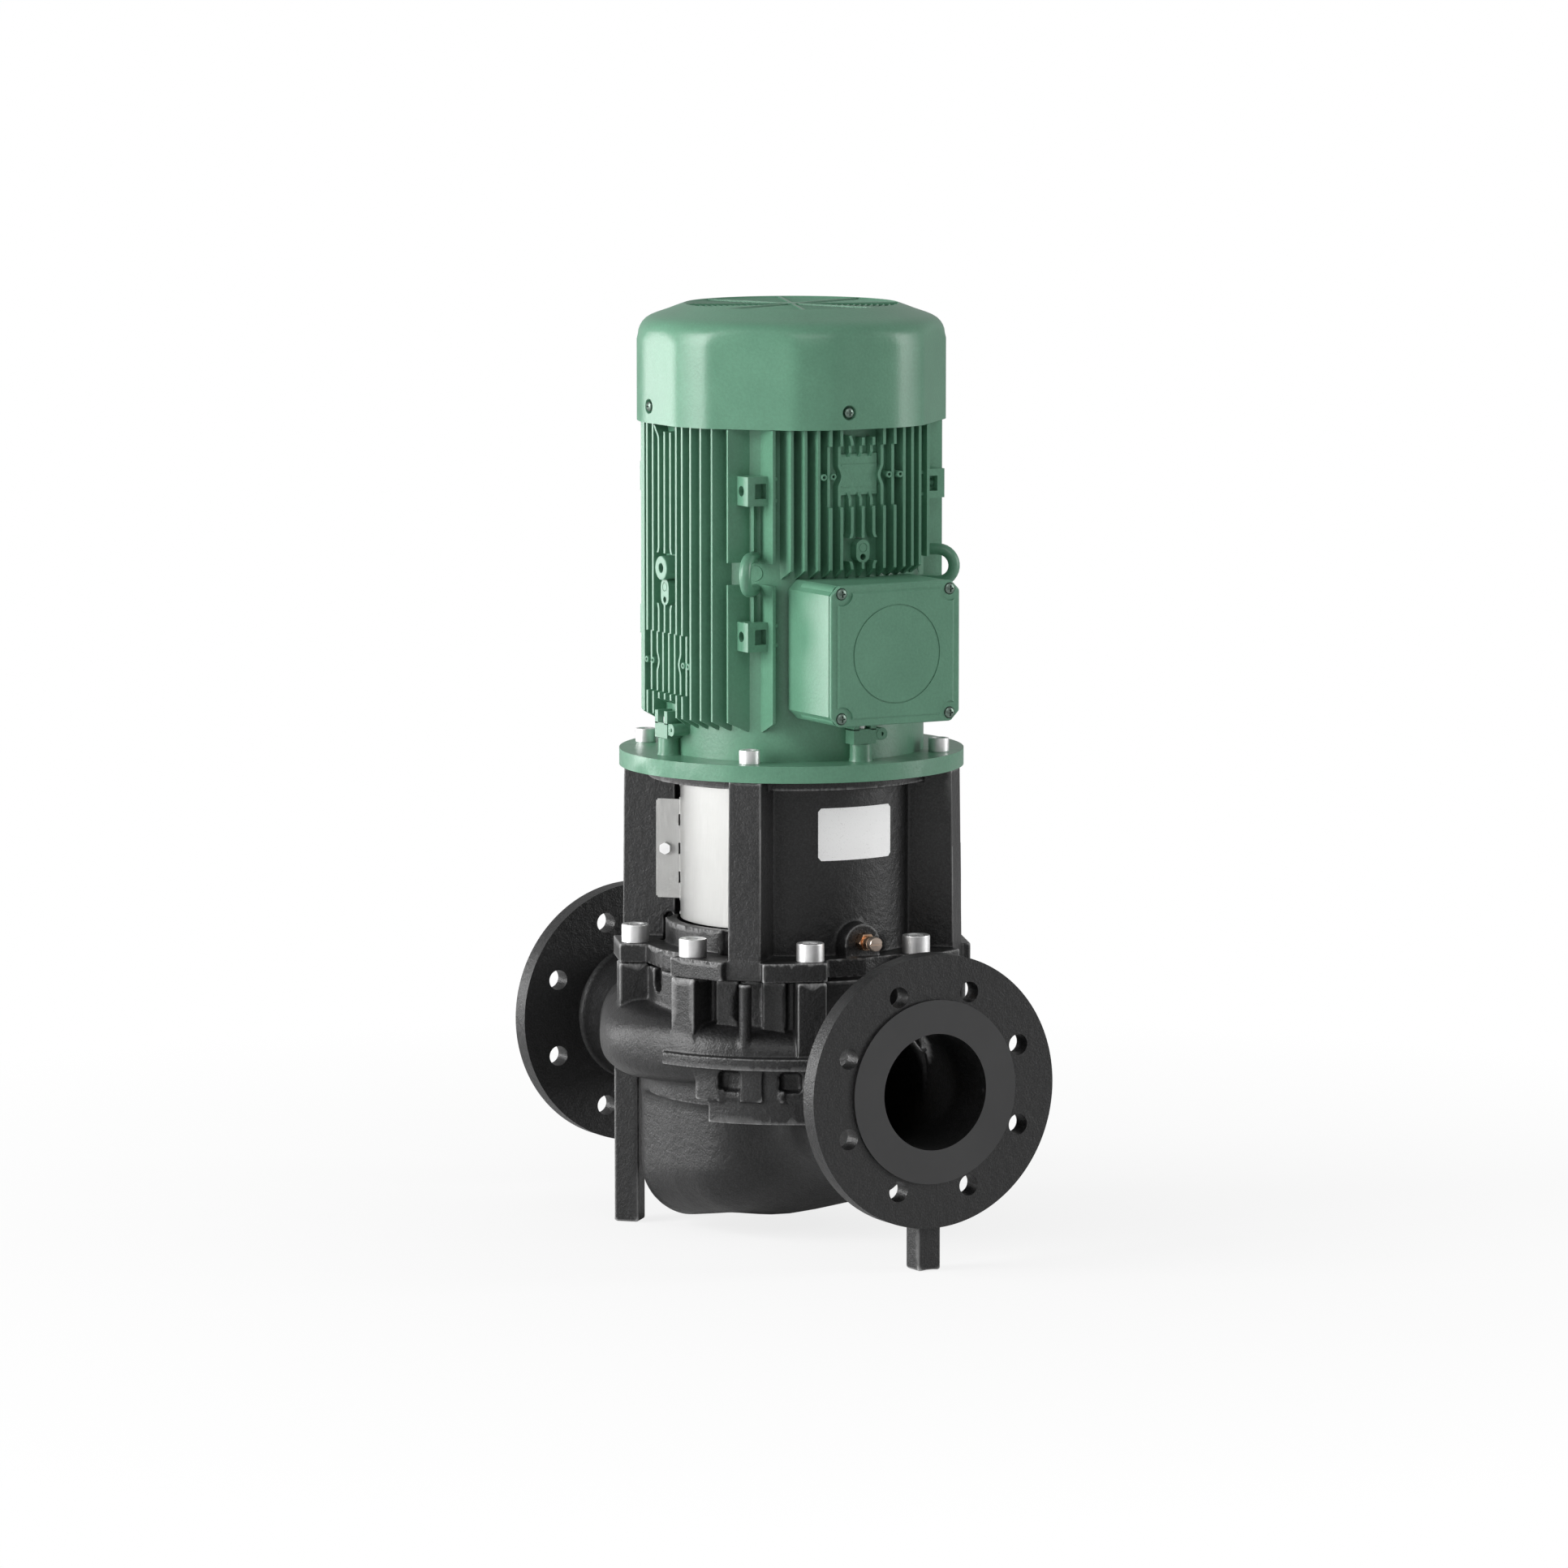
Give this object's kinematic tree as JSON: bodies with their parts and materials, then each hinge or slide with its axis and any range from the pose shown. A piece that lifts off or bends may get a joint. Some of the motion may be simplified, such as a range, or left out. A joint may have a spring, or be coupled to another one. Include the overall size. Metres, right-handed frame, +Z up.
{
  "type": "dry rotor in-line pump",
  "caption": "Upright in-line pump: cast casing with pipe flanges on one line, seal and split coupling in a windowed adapter, fan-cooled motor on top, shaft turning in ball bearings.",
  "frame": {"origin": "middle of the suction flange's bolt circle on the pipe axis, in the plate's front plane, 2.5 mm behind the raised sealing face", "axes": "+X out of the suction flange along the pipe, +Z up along the shaft from the pump to the motor, +Y completes a right-handed frame"},
  "size_m": [0.55, 0.3259, 0.8117],
  "materials": {
    "casing_paint": "black dip coat on cast iron",
    "motor_paint": "satin green enamel with a light orange peel",
    "screw_steel": "bright zinc plate",
    "guard_sheet": "brushed stainless sheet",
    "shaft_steel": "ground steel",
    "bearing_steel": "polished bearing steel",
    "cage_brass": "machined brass",
    "wear_bronze": "machined bronze",
    "valve_brass": "bright brass",
    "impeller_iron": "bare cast iron",
    "coupling_iron": "machined cast iron",
    "core_steel": "stacked electrical sheet",
    "end_ring_aluminium": "cast aluminium",
    "winding_copper": "varnished copper wire",
    "rubber_black": "moulded rubber",
    "carbon": "lapped carbon",
    "seat_ceramic": "lapped ceramic",
    "black_plastic": "moulded plastic",
    "plate_white": "blank white film plate"
  },
  "bodies": {
    "pump": {"pump_casing": "casing_paint", "casing_wear_ring": "wear_bronze", "lantern": "casing_paint", "cover_o_ring": "rubber_black", "lantern_screws": "screw_steel", "left_coupling_guard": "guard_sheet", "right_coupling_guard": "guard_sheet", "guard_screws": "screw_steel", "rating_plate": "plate_white", "vent_valve_body": "valve_brass", "seal_seat": "seat_ceramic", "seal_seat_o_ring": "rubber_black", "drive_end_outer_ring": "bearing_steel", "fan_end_outer_ring": "bearing_steel", "wave_spring": "shaft_steel", "drive_end_shield": "motor_paint", "motor_flange_screws": "screw_steel", "frame_screws": "screw_steel", "stator_frame": "motor_paint", "lifting_eyes": "motor_paint", "stator_core": "core_steel", "stator_windings": "winding_copper", "fan_end_shield": "motor_paint", "fan_shield_screws": "screw_steel", "fan_cover": "motor_paint", "fan_cover_screws": "screw_steel", "terminal_box": "motor_paint", "terminal_box_gasket": "rubber_black", "terminal_box_lid": "motor_paint", "terminal_lid_screws": "screw_steel", "terminal_block": "black_plastic", "terminal_studs": "valve_brass", "gland_plugs": "black_plastic"},
    "rotor": {"seal_face_ring": "carbon", "seal_bellows": "rubber_black", "seal_spring": "shaft_steel", "pump_shaft": "shaft_steel", "impeller": "impeller_iron", "impeller_key": "shaft_steel", "impeller_washer": "screw_steel", "impeller_nut": "screw_steel", "coupling_half_a": "coupling_iron", "coupling_half_b": "coupling_iron", "coupling_screws": "screw_steel", "motor_shaft": "shaft_steel", "shaft_v_ring": "rubber_black", "rotor_core": "core_steel", "rotor_end_rings": "end_ring_aluminium", "drive_end_inner_ring": "bearing_steel", "fan_end_inner_ring": "bearing_steel", "cooling_fan": "black_plastic", "fan_circlip": "shaft_steel"},
    "drive_end_ball_set": {"drive_end_balls": "bearing_steel", "drive_end_cage": "cage_brass"},
    "fan_end_ball_set": {"fan_end_balls": "bearing_steel", "fan_end_cage": "cage_brass"},
    "vent": {"vent_screw": "valve_brass"}
  },
  "joints": [
    {"name": "rotor_spin", "type": "hinge", "parent": "pump", "child": "rotor", "pos_m": [-0.2475, 0, 0.1], "axis": [0, 0, 1], "continuous": true},
    {"name": "drive_end_balls_spin", "type": "hinge", "parent": "pump", "child": "drive_end_ball_set", "pos_m": [-0.2475, 0, 0.2845], "axis": [0, 0, 1], "continuous": true},
    {"name": "fan_end_balls_spin", "type": "hinge", "parent": "pump", "child": "fan_end_ball_set", "pos_m": [-0.2475, 0, 0.535], "axis": [0, 0, 1], "continuous": true},
    {"name": "vent_screw_turn", "type": "hinge", "parent": "pump", "child": "vent", "pos_m": [-0.0975, 0, 0.114], "axis": [1, 0, 0], "range_deg": [0, 180]}
  ],
  "couplings": [
    {"joint": "drive_end_balls_spin", "follows": "rotor_spin", "ratio": 0.3846},
    {"joint": "fan_end_balls_spin", "follows": "rotor_spin", "ratio": 0.4}
  ]
}
